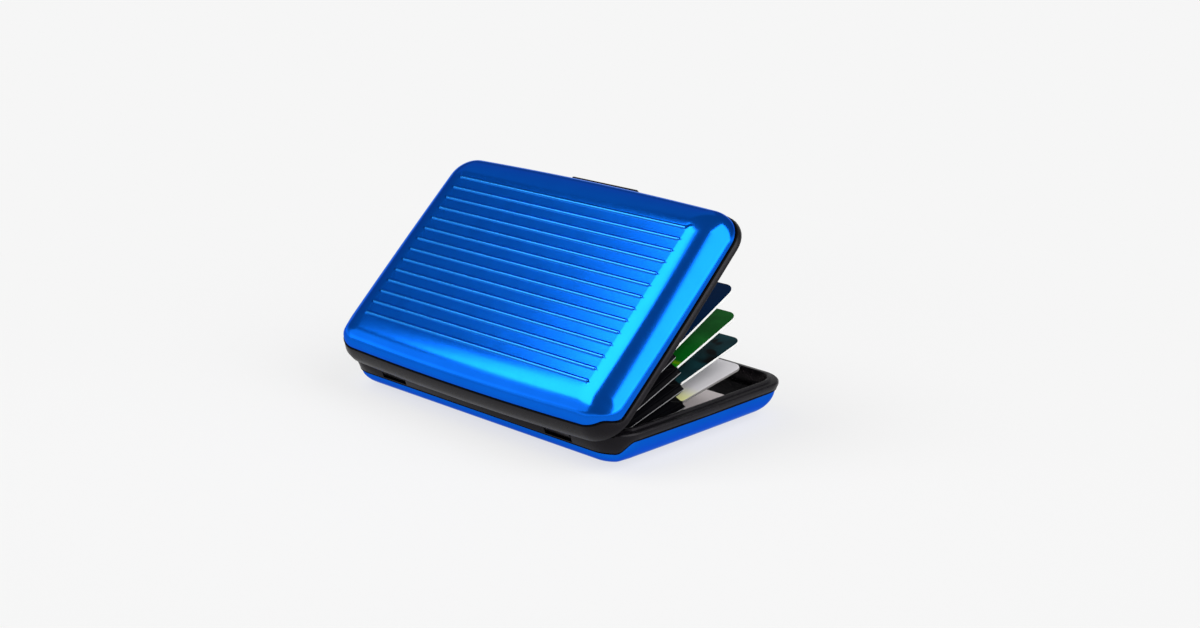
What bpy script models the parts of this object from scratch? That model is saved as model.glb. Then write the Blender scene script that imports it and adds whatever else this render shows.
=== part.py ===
"""Hinged aluminium card wallet, standing open, in metres with +Z up.

The base lies on its bead crests and the lid leans back on the hinge.
Every piece is drawn as it sits in the closed wallet and is then turned about
the hinge with the empty that carries it, so the closed fit is what the sizes give.
"""

import math

import bmesh
import bpy
from mathutils import Vector

# Cards of the common bank size
card_width = 0.0856
card_depth = 0.054
card_sheet = 0.00076
card_corner = 0.00318
card_corner_steps = 4
card_side_play = 0.0048
card_offset = 0.0042
card_slack = 0.003
card_slack_shares = (1.0, 0.07, 0.2, 0.3, 0.97, 0.5, 0.4)

# Clearances
seat_gap = 0.0003
parting_gap = 0.0003
pin_clearance = 0.00015
film_gap = 0.00025
leaf_clearance = 0.00035
overrun = 0.002

# Hinge, with its axis below the parting plane
hinge_inset = 0.0023
hinge_drop = 0.00315
lid_open_degrees = 42.7
lug_offset_share = 0.3
lug_shy = 0.0004
lug_reach = 0.0006
recess_width = 0.010
recess_play = 0.0002
recess_web = 0.0006
hinge_pin_radius = 0.0008
hinge_pin_seat = 0.003
round_steps = 16

# Card pockets, in the frame of a leaf: distance from the hinge axis and height above it
pocket_count = 7
pocket_pitch = 0.0022
pocket_mouth = 0.038
pocket_root_cut = 0.004
pocket_mouth_cut = 0.005
film = 0.00025
weld_width = 0.001
weld_root = 0.002
first_leaf_degrees = 9.0
leaf_step_degrees = 5.7
pad_sheet = 0.0003
pad_side_room = 0.0086

# Side pleats between the pockets
pleat_end_gap = 0.0005
pleat_reach = 0.004
pleat_notch = 0.0007
pleat_film = 0.0003
pleat_inset = 0.0003
lid_pleat_side_room = 0.0021
lid_pleat_sheet = 0.0005

# Outline of each half, seen from above
pocket_side_room = 0.0064
pocket_front_room = 0.0092
corner_radius = 0.00915
long_side_bow = 0.0009
short_side_bow = 0.0003
corner_steps = 10
long_side_shares = (-0.8, -0.4, 0.0, 0.4, 0.8)
short_side_shares = (0.0,)

# Section of each half, measured outwards from the parting plane
stack_room = 0.00294
sheet = 0.0005
liner_wall = 0.0005
flat_inset = 0.0106
flat_corner_radius = 0.002
side_edge_inset = 0.00081
side_band = 0.0026
hinge_edge_inset = 0.0014
hinge_band_cover = 0.00045
curve_steps = 7
inner_curve_steps = 5
band_start_degrees = 9.0
band_end_degrees = 45.0

# Pressed beads on the flat of each shell
bead_count = 14
bead_side_margin = 0.00026
bead_end_margin = 0.0001
bead_height = 0.00045
bead_base_half = 0.0009
bead_shoulder_half = 0.00062
bead_shoulder_height = 0.00027
bead_crest_half = 0.00022
bead_root = 0.0002
bead_end_steps = 4
groove_half = 0.0005
groove_top_half = 0.0003
groove_depth = 0.00036

# Moulded frames
rim_width = 0.003
rim_chamfer = 0.0004
ledge = 0.0003
skirt_share = 0.5
upright_share = 0.5
lip_width = 0.001
lip_height = 0.0006
lip_fade = 0.0001

# Latch on the front of the lid
latch_width = 0.025
latch_plate = 0.0008
latch_stand_off = 0.0003
latch_top = 0.0023
latch_drop = 0.003
latch_pivot_rise = 0.00135
latch_lug_radius = 0.00075
latch_lug_width = 0.007
latch_pin_radius = 0.00035
latch_pin_seat = 0.001
keeper_depth = 0.0015
hook_reach = 0.0007
hook_height = 0.00085
spring_side_room = 0.002
spring_sheet = 0.0002
spring_leg = 0.0007

# The hinge wall holds the recesses, and the leaves swing clear of its corner
barrel_radius = hinge_inset
lug_radius = hinge_inset - lug_shy
recess_back = lug_radius + recess_play
hinge_wall = hinge_inset + recess_back + recess_web
hinge_band = hinge_drop + barrel_radius + hinge_band_cover
pocket_root = math.hypot(hinge_wall - hinge_inset, hinge_drop) + leaf_clearance
pocket_floor = bead_height + sheet + liner_wall + pad_sheet + 3 * seat_gap

# The card gives the pocket, and the pockets give the case
card_space = card_sheet + 2 * film_gap
pocket_sheet = card_space + 2 * film
pocket_half_width = card_width / 2 + card_side_play + weld_width
card_back = pocket_root + weld_root
wallet_length = 2 * (pocket_half_width + pocket_side_room)
wallet_depth = hinge_inset + card_back + card_slack + card_depth + pocket_front_room
stack_top = pocket_floor + (pocket_count - 1) * pocket_pitch + pocket_sheet
lid_skin = bead_height + sheet + seat_gap + liner_wall
half_height = (stack_top + stack_room + lid_skin) / 2
land_depth = half_height - bead_height
skirt = skirt_share * (land_depth - hinge_band - sheet - seat_gap - liner_wall)
bead_length = wallet_length - 2 * (flat_inset + bead_end_margin)
bead_reach = wallet_depth / 2 - flat_inset - bead_side_margin - bead_base_half
bead_pitch = 2 * bead_reach / (bead_count - 1)

# Places
hinge_y = hinge_inset - wallet_depth / 2
hinge_height = half_height - hinge_drop
middle_y = -bead_pitch / 2
front_y = wallet_depth / 2 + long_side_bow
half_gap = parting_gap / 2
hinge = Vector((0, hinge_y, hinge_height))
latch_pivot = Vector((0, front_y - latch_lug_radius, half_height + latch_pivot_rise))
keeper_lip = side_band - seat_gap - hook_height
pleat_start = pocket_root + pocket_root_cut + pleat_end_gap
pleat_end = pocket_mouth - pocket_mouth_cut - pleat_end_gap
pin_hole_radius = latch_pin_radius + pin_clearance


def clear_scene():
    for item in list(bpy.data.objects):
        bpy.data.objects.remove(item, do_unlink=True)


def make_material(name, color, roughness, metallic):
    material = bpy.data.materials.new(name)
    material.use_nodes = True
    surface = material.node_tree.nodes["Principled BSDF"]
    surface.inputs["Base Color"].default_value = (*color, 1)
    surface.inputs["Roughness"].default_value = roughness
    surface.inputs["Metallic"].default_value = metallic
    material.diffuse_color = (*color, 1)
    return material


def make_empty(name, parent, place, turn=0):
    item = bpy.data.objects.new(name, None)
    bpy.context.scene.collection.objects.link(item)
    item.parent = parent
    item.location = place
    item.rotation_euler = (turn, 0, 0)
    return item


def make_object(name, shape, material, carrier, origin):
    """Turns a bmesh drawn in the closed wallet into an object whose origin is at the given point."""
    bmesh.ops.recalc_face_normals(shape, faces=shape.faces)
    bmesh.ops.translate(shape, verts=shape.verts, vec=-Vector(origin))
    mesh = bpy.data.meshes.new(name)
    shape.to_mesh(mesh)
    shape.free()
    mesh.shade_smooth()
    mesh.set_sharp_from_angle(angle=math.radians(30))
    item = bpy.data.objects.new(name, mesh)
    bpy.context.scene.collection.objects.link(item)
    item.parent = carrier
    if material:
        mesh.materials.append(material)
    else:
        item.hide_render = True
        item.display_type = "WIRE"
    return item


def combine(item, tool, operation):
    step = item.modifiers.new(tool.name, "BOOLEAN")
    step.operation = operation
    step.solver = "EXACT"
    step.object = tool


def add_loft(shape, rings, closed=False):
    """Skins a run of point rings, capped at both ends or joined round into a loop."""
    loops = [[shape.verts.new(point) for point in ring] for ring in rings]
    pairs = list(zip(loops, loops[1:]))
    if closed:
        pairs.append((loops[-1], loops[0]))
    for low, high in pairs:
        count = len(low)
        for k in range(count):
            after = (k + 1) % count
            shape.faces.new((low[k], low[after], high[after], high[k]))
    if not closed:
        shape.faces.new(loops[0])
        shape.faces.new(loops[-1])


def loft(rings, closed=False):
    shape = bmesh.new()
    add_loft(shape, rings, closed)
    return shape


def add_bar(shape, section, start, end):
    """A prism along X from a section of (y, z) points."""
    add_loft(shape, [[Vector((x, y, z)) for y, z in section] for x in (start, end)])


def bar(section, start, end):
    shape = bmesh.new()
    add_bar(shape, section, start, end)
    return shape


def slab(outline, low, high):
    """A flat sheet from an outline of (x, y) points."""
    return loft([[Vector((x, y, z)) for x, y in outline] for z in (low, high)])


def box_section(low_y, high_y, low_z, high_z):
    return [(low_y, low_z), (high_y, low_z), (high_y, high_z), (low_y, high_z)]


def circle_section(center_y, center_z, radius):
    turns = [2 * math.pi * k / round_steps for k in range(round_steps)]
    return [(center_y + radius * math.cos(a), center_z + radius * math.sin(a)) for a in turns]


def blend(low, high, share):
    return low + (high - low) * share


def smooth(share):
    share = min(max(share, 0), 1)
    return share * share * (3 - 2 * share)


def make_stations():
    """Stops round the outline: (x sign, y sign, turn or None, share of a side, share of hinge band)."""
    found = []
    for quarter, (sign_x, sign_y) in enumerate(((1, 1), (-1, 1), (-1, -1), (1, -1))):
        for step in range(corner_steps + 1):
            part = 90 * step / corner_steps
            from_side = part if sign_x * sign_y > 0 else 90 - part
            band = (from_side - band_start_degrees) / (band_end_degrees - band_start_degrees)
            share = smooth(band) if sign_y < 0 else 0
            found.append((sign_x, sign_y, math.radians(90 * quarter + part), 0, share))
        if sign_x == sign_y:
            for along in long_side_shares:
                found.append((0, sign_y, None, -sign_y * along, 1 if sign_y < 0 else 0))
        else:
            for along in short_side_shares:
                found.append((sign_x, 0, None, along, 0))
    return found


def outline_point(station, inset, hinge_bow):
    """The (x, y) of a stop, moved in from the outline; corners tighten and bows fade inwards."""
    sign_x, sign_y, turn, along, _ = station
    inward = inset / flat_inset
    radius = blend(corner_radius, flat_corner_radius, inward)
    reach_x = wallet_length / 2 - inset
    reach_y = wallet_depth / 2 - inset
    if turn is not None:
        x = sign_x * (reach_x - radius) + radius * math.cos(turn)
        y = sign_y * (reach_y - radius) + radius * math.sin(turn)
        return x, y
    swell = (1 - along * along) * (1 - inward)
    if sign_y:
        bow = long_side_bow if sign_y > 0 else hinge_bow
        return along * (reach_x - radius), sign_y * (reach_y + bow * swell)
    return sign_x * (reach_x + short_side_bow * swell), along * (reach_y - radius)


def edge_of(station):
    """Inset and depth of the shell's edge at a stop."""
    share = station[4]
    return blend(side_edge_inset, hinge_edge_inset, share), blend(side_band, hinge_band, share)


def curve_inset(station, depth, inward):
    """Inset of the curved side at a depth, for a surface that lies inward of the shell's skin."""
    edge_inset, edge_depth = edge_of(station)
    rise = (depth - edge_depth) / (land_depth - edge_depth - inward)
    return flat_inset - (flat_inset - edge_inset - inward) * math.sqrt(max(1 - rise * rise, 0))


def curve_ring(stations, place, share, start, inward):
    """A ring on the curved side, at a share of the turn from its starting depth to the flat."""
    ring = []
    for station in stations:
        _, edge_depth = edge_of(station)
        height = land_depth - edge_depth - inward
        first = math.asin(start / height)
        turn = blend(first, math.pi / 2, share)
        depth = edge_depth + height * math.sin(turn)
        ring.append(place(station, curve_inset(station, depth, inward), depth))
    return ring


def half_placer(side, hinge_bow):
    """A function that puts (stop, inset, depth) into the closed wallet; side is 1 for lid, -1 for base."""

    def place(station, inset, depth):
        x, y = outline_point(station, inset, hinge_bow)
        return Vector((x, y, half_height + side * depth))

    return place


def pan(stations, place, start, outer, inner):
    """A thin tray whose two skins lie inward of the shell's outer skin by the given amounts."""
    down = [k / inner_curve_steps for k in range(inner_curve_steps + 1)]
    up = [k / curve_steps for k in range(curve_steps + 1)]
    rings = [curve_ring(stations, place, share, start, inner) for share in reversed(down)]
    rings += [curve_ring(stations, place, share, start, outer) for share in up]
    return loft(rings)


def stadium(row, half_width, z):
    """A long slot outline with round ends, along X at the row's y."""
    center = bead_length / 2 - bead_base_half
    points = []
    for sign in (1, -1):
        for step in range(bead_end_steps + 1):
            turn = math.pi * (step / bead_end_steps - 0.5) + (0 if sign > 0 else math.pi)
            x = sign * center + half_width * math.cos(turn)
            points.append(Vector((x, row + half_width * math.sin(turn), z)))
    return points


def bead_rows():
    return [(k - (bead_count - 1) / 2) * bead_pitch for k in range(bead_count)]


def bead_bars(side):
    levels = (
        (bead_base_half, land_depth - bead_root),
        (bead_shoulder_half, land_depth + bead_shoulder_height),
        (bead_crest_half, land_depth + bead_height),
    )
    shape = bmesh.new()
    for row in bead_rows():
        add_loft(shape, [stadium(row, half, half_height + side * depth) for half, depth in levels])
    return shape


def groove_bars(side):
    floor = land_depth - sheet
    levels = ((groove_half, floor - bead_root), (groove_top_half, floor + groove_depth))
    shape = bmesh.new()
    for row in bead_rows():
        add_loft(shape, [stadium(row, half, half_height + side * depth) for half, depth in levels])
    return shape


def frame_section(station, lid):
    """(inset, depth) points round the moulded frame: band, ledge, skirt, inner wall, then lip or rebate."""
    edge_inset, edge_depth = edge_of(station)
    share = station[4]
    inner = blend(rim_width, hinge_wall, share)
    inward = sheet + seat_gap
    points = [
        (rim_chamfer, half_gap),
        (0, half_gap + rim_chamfer),
        (0, edge_depth * upright_share),
        (edge_inset - ledge, edge_depth),
        (curve_inset(station, edge_depth, inward), edge_depth),
        (curve_inset(station, edge_depth + skirt / 2, inward), edge_depth + skirt / 2),
        (curve_inset(station, edge_depth + skirt, inward), edge_depth + skirt),
        (inner, edge_depth + skirt),
    ]
    if lid:
        rebate = blend(lip_height + parting_gap, lip_fade, share)
        wall = inner - lip_width - seat_gap
        points += [(inner, half_gap + rebate), (wall, half_gap + rebate), (wall, half_gap)]
    else:
        lip = blend(lip_height, lip_fade, share)
        wall = inner - lip_width
        points += [(inner, half_gap - lip), (wall, half_gap - lip), (wall, half_gap)]
    return points


def frame_ring(stations, place, lid):
    rings = []
    for station in stations:
        rings.append([place(station, inset, depth) for inset, depth in frame_section(station, lid)])
    return loft(rings, closed=True)


def make_shell(name, side, stations, hinge_bow, material, carrier, origin):
    place = half_placer(side, hinge_bow)
    shape = pan(stations, place, seat_gap, 0, sheet)
    shell = make_object(name, shape, material, carrier, origin)
    combine(shell, make_object(name + "_beads", bead_bars(side), None, carrier, origin), "UNION")
    grooves = make_object(name + "_grooves", groove_bars(side), None, carrier, origin)
    combine(shell, grooves, "DIFFERENCE")
    return shell


def make_liner(name, side, stations, hinge_bow, material, carrier, origin):
    place = half_placer(side, hinge_bow)
    outer = sheet + seat_gap
    shape = pan(stations, place, skirt + seat_gap, outer, outer + liner_wall)
    return make_object(name, shape, material, carrier, origin)


def lug_centers():
    offset = lug_offset_share * wallet_length
    return (-offset, offset)


def make_base_frame(stations, material, carrier):
    shape = frame_ring(stations, half_placer(-1, 0), False)
    frame = make_object("base_frame", shape, material, carrier, (0, 0, 0))
    reach = wallet_length / 2 + overrun

    # The hinge side is rounded about the axis, so that the lid's edge swings past it
    turns = [math.pi / 2 * (1 + k / corner_steps) for k in range(corner_steps + 1)]
    swing = [
        (hinge_y + barrel_radius * math.cos(a), hinge_height + barrel_radius * math.sin(a)) for a in turns
    ]
    top = half_height + overrun
    swing += [
        (hinge_y - barrel_radius - overrun, hinge_height),
        (hinge_y - barrel_radius - overrun, top),
        (hinge_y, top),
    ]
    swing_cut = make_object("hinge_swing_cut", bar(swing, -reach, reach), None, carrier, (0, 0, 0))
    combine(frame, swing_cut, "DIFFERENCE")

    recess = box_section(
        hinge_y - barrel_radius - overrun, hinge_y + recess_back, hinge_height - barrel_radius, top
    )
    recesses, bores = bmesh.new(), bmesh.new()
    bore = circle_section(hinge_y, hinge_height, hinge_pin_radius + pin_clearance)
    for center in lug_centers():
        add_bar(recesses, recess, center - recess_width / 2, center + recess_width / 2)
        half = recess_width / 2 + hinge_pin_seat + seat_gap
        add_bar(bores, bore, center - half, center + half)
    combine(frame, make_object("hinge_recess_cut", recesses, None, carrier, (0, 0, 0)), "DIFFERENCE")
    combine(frame, make_object("hinge_bore_cut", bores, None, carrier, (0, 0, 0)), "DIFFERENCE")

    # A slot under the front rim leaves the lip that the latch hooks under
    half = latch_width / 2 + seat_gap
    slot_low = half_height - side_band - seat_gap / 2
    slot = box_section(front_y - keeper_depth, front_y + overrun, slot_low, half_height - keeper_lip)
    combine(frame, make_object("keeper_cut", bar(slot, -half, half), None, carrier, (0, 0, 0)), "DIFFERENCE")
    return frame


def make_lid_frame(stations, material, carrier):
    shape = frame_ring(stations, half_placer(1, long_side_bow), True)
    frame = make_object("lid_frame", shape, material, carrier, hinge)

    # Two lugs reach down from the hinge wall to the axis
    lugs, bores = bmesh.new(), bmesh.new()
    neck = lug_radius
    root = half_height + half_gap + lug_reach
    turns = [math.pi * (1 + k / (round_steps // 2)) for k in range(round_steps // 2 + 1)]
    lug = [(hinge_y + neck * math.cos(a), hinge_height + neck * math.sin(a)) for a in turns]
    lug += [(hinge_y + neck, root), (hinge_y - neck, root)]
    bore = circle_section(hinge_y, hinge_height, hinge_pin_radius + pin_clearance)
    half = recess_width / 2 - seat_gap
    for center in lug_centers():
        add_bar(lugs, lug, center - half, center + half)
        add_bar(bores, bore, center - recess_width, center + recess_width)
    combine(frame, make_object("lid_lugs", lugs, None, carrier, hinge), "UNION")
    combine(frame, make_object("lid_lug_bores", bores, None, carrier, hinge), "DIFFERENCE")

    # The latch sits in a notch in the front band, on a pin held at both ends
    half = latch_width / 2 + seat_gap
    notch_top = half_height + side_band + seat_gap / 2
    notch_back = latch_pivot.y - latch_lug_radius - seat_gap
    notch = box_section(notch_back, front_y + overrun, half_height - overrun, notch_top)
    combine(frame, make_object("latch_notch", bar(notch, -half, half), None, carrier, hinge), "DIFFERENCE")
    pin_hole = circle_section(latch_pivot.y, latch_pivot.z, pin_hole_radius)
    half += latch_pin_seat + seat_gap
    combine(frame, make_object("latch_bore", bar(pin_hole, -half, half), None, carrier, hinge), "DIFFERENCE")
    return frame


def make_hinge_pins(material, carrier):
    half = recess_width / 2 + hinge_pin_seat
    section = circle_section(hinge_y, hinge_height, hinge_pin_radius)
    for name, center in zip(("hinge_pin_left", "hinge_pin_right"), lug_centers()):
        make_object(name, bar(section, center - half, center + half), material, carrier, hinge)


def make_latch(lid_axis, plastic, steel):
    """The clasp turns on its pin; its hook reaches under the keeper lip of the base."""
    axis = make_empty("latch_axis", lid_axis, latch_pivot - hinge)
    inner = front_y + latch_stand_off
    outer = inner + latch_plate
    top = half_height + latch_top
    bottom = half_height - latch_drop
    hook_top = half_height - keeper_lip - seat_gap
    hook_low = hook_top - hook_height
    tip = front_y - hook_reach
    profile = [
        (inner, top),
        (inner, hook_top),
        (tip, hook_top),
        (tip + hook_height / 2, hook_low),
        (inner, hook_low),
        (inner, bottom),
        (outer - latch_plate / 2, bottom),
        (outer, bottom + latch_plate),
        (outer, top - latch_plate / 2),
        (outer - latch_plate / 2, top),
    ]
    half = latch_width / 2
    clasp = make_object("latch_clasp", bar(profile, -half, half), plastic, axis, latch_pivot)
    lugs = bmesh.new()
    turns = [math.pi * (0.5 + k / (round_steps // 2)) for k in range(round_steps // 2 + 1)]
    lug = [
        (latch_pivot.y + latch_lug_radius * math.cos(a), latch_pivot.z + latch_lug_radius * math.sin(a))
        for a in turns
    ]
    lug += [
        (inner + latch_plate / 2, latch_pivot.z - latch_lug_radius),
        (inner + latch_plate / 2, latch_pivot.z + latch_lug_radius),
    ]
    for sign in (-1, 1):
        ends = sorted((sign * half, sign * (half - latch_lug_width)))
        add_bar(lugs, lug, *ends)
    combine(clasp, make_object("latch_lugs", lugs, None, axis, latch_pivot), "UNION")
    bore = circle_section(latch_pivot.y, latch_pivot.z, pin_hole_radius)
    bore_bar = bar(bore, -half - overrun, half + overrun)
    combine(clasp, make_object("latch_lug_bores", bore_bar, None, axis, latch_pivot), "DIFFERENCE")

    reach = half + seat_gap + latch_pin_seat
    pin = bar(circle_section(latch_pivot.y, latch_pivot.z, latch_pin_radius), -reach, reach)
    make_object("latch_pin", pin, steel, lid_axis, hinge)

    # A bent leaf arches over the pin, from the back of the notch to the clasp
    arch = [math.pi * k / (round_steps // 2) for k in range(round_steps // 2 + 1)]
    runs = []
    for radius in (pin_hole_radius + spring_sheet, pin_hole_radius):
        run = [(radius * math.cos(a), radius * math.sin(a)) for a in arch]
        runs.append([(radius, -spring_leg)] + run + [(-radius, -spring_leg)])
    section = runs[0] + list(reversed(runs[1]))
    section = [(latch_pivot.y + y, latch_pivot.z + z) for y, z in section]
    spring_half = half - latch_lug_width - spring_side_room
    leaf = bar(section, -spring_half, spring_half)
    make_object("latch_spring", leaf, steel, lid_axis, hinge)


def leaf_height(number):
    """Height of a pocket's underside above the hinge axis, in its own leaf's frame."""
    return pocket_floor - hinge_height + (number - 1) * pocket_pitch


def pocket_outline():
    """A sheet with its four corners cut, from the root near the hinge to the mouth."""
    half = pocket_half_width
    right = [
        (half - pocket_root_cut, pocket_root),
        (half, pocket_root + pocket_root_cut),
        (half, pocket_mouth - pocket_mouth_cut),
        (half - pocket_mouth_cut, pocket_mouth),
    ]
    return right + [(-x, y) for x, y in reversed(right)]


def make_pocket(number, axis, material):
    """Two films: the back carries the welded rim that the front lies on, open at the mouth."""
    low = leaf_height(number)
    outline = pocket_outline()
    weld_top = low + film + card_space - film_gap / 2
    back = make_object(f"pocket_{number}_back", slab(outline, low, weld_top), material, axis, (0, 0, 0))
    half = pocket_half_width - weld_width
    past_mouth = pocket_mouth + overrun
    mouth = [(-half, card_back), (half, card_back), (half, past_mouth), (-half, past_mouth)]
    well = slab(mouth, low + film, weld_top + overrun)
    combine(back, make_object(f"pocket_{number}_well", well, None, axis, (0, 0, 0)), "DIFFERENCE")
    front = slab(outline, low + film + card_space, low + pocket_sheet)
    make_object(f"pocket_{number}_front", front, material, axis, (0, 0, 0))


def make_card(number, axis, material):
    low = leaf_height(number) + film + film_gap
    middle = card_back + card_slack_shares[number - 1] * card_slack + card_depth / 2
    outline = []
    for quarter, (sign_x, sign_y) in enumerate(((1, 1), (-1, 1), (-1, -1), (1, -1))):
        for step in range(card_corner_steps + 1):
            turn = math.pi / 2 * (quarter + step / card_corner_steps)
            x = card_offset + sign_x * (card_width / 2 - card_corner) + card_corner * math.cos(turn)
            y = middle + sign_y * (card_depth / 2 - card_corner) + card_corner * math.sin(turn)
            outline.append((x, y))
    make_object(f"card_{number}", slab(outline, low, low + card_sheet), material, axis, (0, 0, 0))


def make_pleats(number, axis, material, opening):
    """The folded film that joins a pocket's sides to the next pocket, drawn in between them.

    The fold shrinks towards the line where the two leaves would meet, so its panels stay flat.
    """
    low = leaf_height(number) + pocket_sheet + pleat_inset
    above = (leaf_height(number) + pocket_pitch) / math.cos(opening) - pleat_inset
    meeting = (low - above) / math.tan(opening)
    high = above + pleat_end * math.tan(opening)
    middle = (low + high) / 2
    side = pocket_half_width - pleat_inset
    apex = side - pleat_reach
    section = [
        (side, low),
        (side, low + pleat_film),
        (apex + pleat_notch, middle),
        (side, high - pleat_film),
        (side, high),
        (apex, middle + pleat_film / 2),
        (apex, middle - pleat_film / 2),
    ]
    for name, sign in (("left", -1), ("right", 1)):
        rings = []
        for along in (pleat_start, pleat_end):
            share = (along - meeting) / (pleat_end - meeting)
            rings.append(
                [Vector((sign * blend(side, x, share), along, blend(low, z, share))) for x, z in section]
            )
        make_object(f"pleat_{number}_{name}", loft(rings), material, axis, (0, 0, 0))


def make_lid_pleats(axis, material):
    """The last pleat lies folded flat on the top pocket, below the lid's liner."""
    low = leaf_height(pocket_count) + pocket_sheet + pleat_inset
    far = pocket_half_width - lid_pleat_side_room
    for name, sign in (("left", -1), ("right", 1)):
        edges = sorted((sign * (far - pleat_reach), sign * far))
        outline = [
            (edges[0], pleat_start),
            (edges[1], pleat_start),
            (edges[1], pleat_end),
            (edges[0], pleat_end),
        ]
        shape = slab(outline, low, low + lid_pleat_sheet)
        make_object(f"pleat_{pocket_count}_{name}", shape, material, axis, (0, 0, 0))


def make_pad(material, carrier):
    """The adhesive pad that holds the bottom pocket to the liner."""
    top = pocket_floor - seat_gap
    section = box_section(
        hinge_y + pocket_root + pocket_root_cut, hinge_y + pocket_mouth, top - pad_sheet, top
    )
    half = pocket_half_width - pad_side_room
    make_object("mounting_pad", bar(section, -half, half), material, carrier, (0, 0, 0))


def build():
    clear_scene()
    blue = make_material("blue_anodised_aluminium", (0.0, 0.11, 0.55), 0.28, 1)
    plastic = make_material("black_moulded_plastic", (0.022, 0.02, 0.022), 0.45, 0)
    lining = make_material("black_liner", (0.006, 0.006, 0.008), 0.6, 0)
    black_film = make_material("black_film", (0.008, 0.008, 0.01), 0.4, 0)
    steel = make_material("steel", (0.55, 0.55, 0.56), 0.3, 1)
    pad = make_material("foam_pad", (0.03, 0.03, 0.03), 0.9, 0)
    card_colors = (
        (0.72, 0.70, 0.70),
        (0.62, 0.62, 0.58),
        (0.01, 0.035, 0.045),
        (0.0, 0.17, 0.03),
        (0.0, 0.02, 0.12),
        (0.5, 0.5, 0.52),
        (0.45, 0.05, 0.05),
    )
    stations = make_stations()

    centre = make_empty("wallet_centre", None, (0, middle_y, 0))
    lid_axis = make_empty("lid_axis", centre, hinge, math.radians(lid_open_degrees))

    make_shell("base_shell", -1, stations, 0, blue, centre, (0, 0, 0))
    make_base_frame(stations, plastic, centre)
    make_liner("base_liner", -1, stations, 0, lining, centre, (0, 0, 0))
    make_pad(pad, centre)
    pin_axis = make_empty("pin_axis", centre, hinge)
    make_hinge_pins(steel, pin_axis)

    make_shell("lid_shell", 1, stations, long_side_bow, blue, lid_axis, hinge)
    make_lid_frame(stations, plastic, lid_axis)
    make_liner("lid_liner", 1, stations, long_side_bow, lining, lid_axis, hinge)
    make_latch(lid_axis, plastic, steel)

    for number in range(1, pocket_count + 1):
        degrees = 0 if number == 1 else first_leaf_degrees + (number - 2) * leaf_step_degrees
        axis = make_empty(f"leaf_{number}_axis", centre, hinge, math.radians(degrees))
        make_pocket(number, axis, black_film)
        card = make_material(f"card_{number}_face", card_colors[number - 1], 0.35, 0)
        make_card(number, axis, card)
        if number == pocket_count:
            make_lid_pleats(axis, black_film)
        else:
            opening = first_leaf_degrees if number == 1 else leaf_step_degrees
            make_pleats(number, axis, black_film, math.radians(opening))
    bpy.context.view_layer.update()


build()
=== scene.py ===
import math

import bmesh
import bpy
from mathutils import Matrix, Vector


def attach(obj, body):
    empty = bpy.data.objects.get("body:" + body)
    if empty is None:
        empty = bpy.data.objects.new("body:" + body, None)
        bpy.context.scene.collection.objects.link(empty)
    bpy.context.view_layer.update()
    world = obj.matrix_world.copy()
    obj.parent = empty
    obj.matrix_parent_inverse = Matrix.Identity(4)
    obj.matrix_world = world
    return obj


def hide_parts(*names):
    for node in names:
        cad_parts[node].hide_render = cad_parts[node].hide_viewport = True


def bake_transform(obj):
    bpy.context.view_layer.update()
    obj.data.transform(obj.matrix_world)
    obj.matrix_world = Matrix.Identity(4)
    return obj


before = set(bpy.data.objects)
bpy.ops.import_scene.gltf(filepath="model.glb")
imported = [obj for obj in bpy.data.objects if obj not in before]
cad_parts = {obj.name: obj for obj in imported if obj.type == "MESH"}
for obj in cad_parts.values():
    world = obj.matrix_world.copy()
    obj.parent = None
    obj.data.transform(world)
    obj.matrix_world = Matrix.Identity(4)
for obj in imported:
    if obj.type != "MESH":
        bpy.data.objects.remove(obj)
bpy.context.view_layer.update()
print("frame loaded")

# The wallet's own sizes, in metres, as the frame is drawn
wallet = {
    "halfLength": 0.055,
    "halfDepth": 0.0374994,
    "halfHeight": 0.01115,
    "landDepth": 0.0107,
    "flatInset": 0.0106,
    "cornerRadius": 0.00915,
    "flatCornerRadius": 0.002,
    "longBow": 0.0009,
    "shortBow": 0.0003,
    "hingeY": -0.0351994,
    "hingeHeight": 0.008,
    "lidOpen": 42.7,
    "middleY": -0.00198,
}
halves = (("base", -1), ("lid", 1))
quarters = ((1, 1), (-1, 1), (-1, -1), (1, -1))


# Shared helpers

def mixed(low, high, share):
    return low + (high - low) * share


def smoothStep(share):
    share = min(max(share, 0), 1)
    return share * share * (3 - 2 * share)


def turnedAboutHinge(degrees):
    pivot = Matrix.Translation((0, wallet["hingeY"], wallet["hingeHeight"]))
    shift = Matrix.Translation((0, wallet["middleY"], 0))
    return shift @ pivot @ Matrix.Rotation(math.radians(degrees), 4, "X")


def halfPlace(side):
    rise = Matrix.Translation((0, 0, wallet["halfHeight"]))
    if side < 0:
        return Matrix.Translation((0, wallet["middleY"], 0)) @ rise @ Matrix.Diagonal((1, 1, -1, 1))
    back = Matrix.Translation((0, -wallet["hingeY"], -wallet["hingeHeight"]))
    return turnedAboutHinge(wallet["lidOpen"]) @ back @ rise


# In degrees: past these an edge shows sharp or is rounded, and within the last it is dissolved
edgeAngles = {
    "plain": 30,
    "shell": 50,
    "moulding": 38,
    "leaf": 50,
    "rounded": 32,
    "seamless": 0.6,
}
roundSegments = 2


def shadeBy(mesh, kind):
    mesh.shade_smooth()
    mesh.set_sharp_from_angle(angle=math.radians(edgeAngles[kind]))


def pieceFromShape(name, shape, materials):
    mesh = bpy.data.meshes.new(name)
    shape.to_mesh(mesh)
    shape.free()
    for material in materials:
        mesh.materials.append(material)
    shadeBy(mesh, "plain")
    piece = bpy.data.objects.new(name, mesh)
    bpy.context.scene.collection.objects.link(piece)
    return piece


def applied(piece):
    graph = bpy.context.evaluated_depsgraph_get()
    mesh = bpy.data.meshes.new_from_object(piece.evaluated_get(graph))
    piece.modifiers.clear()
    old = piece.data
    piece.data = mesh
    mesh.name = old.name
    return piece


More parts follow.
